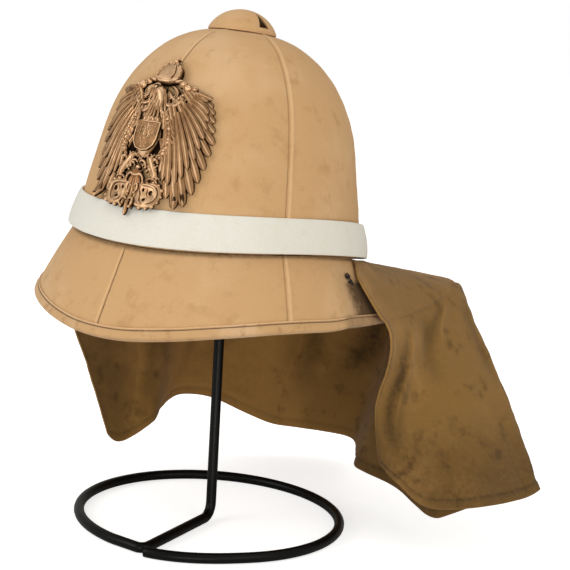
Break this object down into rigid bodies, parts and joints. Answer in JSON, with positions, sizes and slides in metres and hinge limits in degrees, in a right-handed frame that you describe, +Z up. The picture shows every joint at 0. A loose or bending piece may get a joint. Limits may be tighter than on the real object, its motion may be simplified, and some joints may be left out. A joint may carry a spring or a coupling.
{
  "type": "pith helmet on a wire stand",
  "caption": "Cloth-covered pith helmet with a broad band, cast front badge, vent cap and hanging neck flap, held up by a plain bent-wire stand.",
  "frame": {"origin": "centre of the stand's ring, on the floor that it stands on", "axes": "+Z up; the helmet faces -Y, and +X is on the wearer's left"},
  "size_m": [0.3714, 0.379, 0.4024],
  "materials": {
    "cork": "raw cork",
    "helmet_cloth": "close khaki cotton",
    "band_cloth": "plain white cotton",
    "flap_cloth": "soft brown cotton",
    "badge_metal": "cast, gilt, worn and darkened in the hollows",
    "hook_metal": "black",
    "stand_metal": "satin black",
    "stand_pad": "painted black"
  },
  "bodies": {
    "root": {"cork_crown": "cork", "cork_brim": "cork", "crown_panel_1": "helmet_cloth", "crown_panel_2": "helmet_cloth", "crown_panel_3": "helmet_cloth", "crown_panel_4": "helmet_cloth", "crown_panel_5": "helmet_cloth", "crown_panel_6": "helmet_cloth", "brim_panel_1": "helmet_cloth", "brim_panel_2": "helmet_cloth", "brim_panel_3": "helmet_cloth", "brim_panel_4": "helmet_cloth", "brim_panel_5": "helmet_cloth", "brim_panel_6": "helmet_cloth", "rim_binding": "helmet_cloth", "vent_cap": "helmet_cloth", "hat_band": "band_cloth", "neck_flap": "flap_cloth", "eagle_badge": "badge_metal", "flap_hook_left": "hook_metal", "flap_hook_right": "hook_metal", "stand_wire": "stand_metal", "stand_head": "stand_pad"}
  },
  "joints": []
}
